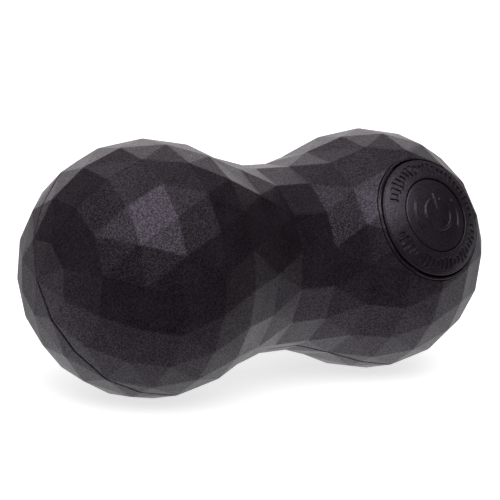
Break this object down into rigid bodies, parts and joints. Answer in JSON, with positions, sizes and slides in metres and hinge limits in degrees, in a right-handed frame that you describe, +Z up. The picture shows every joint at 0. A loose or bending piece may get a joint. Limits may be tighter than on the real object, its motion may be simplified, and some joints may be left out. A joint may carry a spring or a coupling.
{
  "type": "massage ball",
  "caption": "Cordless vibrating peanut massage roller: two faceted rubber-skinned lobes on a waist, with a round press-button disc on one lobe.",
  "frame": {"origin": "middle of the waist, on the long axis", "axes": "+X along the roller towards the lobe with the control disc, +Z up as it rests on the facet edges of both lobes, -Y the side the control disc looks towards"},
  "size_m": [0.1672, 0.0796, 0.079],
  "materials": {
    "skin_rubber": "matte, fine grain",
    "disc_rubber": "matte",
    "shell_plastic": "moulded, matte",
    "steel": "zinc plated",
    "spring_steel": "rolled",
    "bronze": "sintered bronze",
    "magnet": "ferrite, matt",
    "copper": "enamelled copper windings",
    "weight_metal": "sintered metal",
    "board": "solder mask",
    "switch_plastic": "moulded",
    "white_plastic": "moulded",
    "battery_wrap": "heat-shrink film",
    "cell_film": "film",
    "foam_rubber": "damping rubber",
    "lens": "frosted",
    "wire_red": "wire jacket",
    "wire_black": "wire jacket"
  },
  "bodies": {
    "housing": {"front_skin": "skin_rubber", "back_skin": "skin_rubber", "front_shell": "shell_plastic", "back_shell": "shell_plastic", "control_ring": "disc_rubber", "ring_screws": "steel", "control_board": "board", "control_board_screws": "steel", "switch_body": "switch_plastic", "motor_can": "spring_steel", "motor_end_cap": "white_plastic", "motor_bushes": "bronze", "motor_magnets": "magnet", "motor_brushes": "bronze", "motor_sleeve": "foam_rubber", "motor_clamp": "spring_steel", "clamp_screws": "steel", "battery_cells": "cell_film", "cell_links": "steel", "battery_wrap": "battery_wrap", "battery_cradle": "shell_plastic", "cradle_screws": "steel", "protection_board": "board", "main_board": "board", "main_board_screws": "steel", "charge_socket": "spring_steel", "indicator_leds": "white_plastic", "indicator_lenses": "lens", "battery_leads": "wire_red", "motor_leads": "wire_red", "control_cable": "wire_black", "shell_screws": "steel", "screw_plugs": "skin_rubber"},
    "rotor": {"motor_armature": "copper", "motor_commutator": "bronze", "motor_shaft": "steel", "left_weight": "weight_metal", "right_weight": "weight_metal", "weight_screws": "steel"},
    "power_button": {"power_button": "disc_rubber"},
    "switch_plunger": {"switch_plunger": "white_plastic"},
    "port_plug": {"port_plug": "skin_rubber"}
  },
  "joints": [
    {"name": "button_press", "type": "slide", "parent": "housing", "child": "power_button", "axis": [0, 0.891, -0.454], "range_m": [0, 0.0005]},
    {"name": "plunger_press", "type": "slide", "parent": "housing", "child": "switch_plunger", "axis": [0, 0.891, -0.454], "range_m": [0, 0.0005]},
    {"name": "motor_spin", "type": "hinge", "parent": "housing", "child": "rotor", "pos_m": [0.01, 0, 0], "axis": [1, 0, 0], "continuous": true},
    {"name": "port_plug_hinge", "type": "hinge", "parent": "housing", "child": "port_plug", "pos_m": [0.0062, 0.0262, -0.01335], "axis": [0, -0.454, -0.891], "range_deg": [0, 100]}
  ],
  "couplings": [
    {"joint": "plunger_press", "follows": "button_press", "ratio": 1}
  ]
}
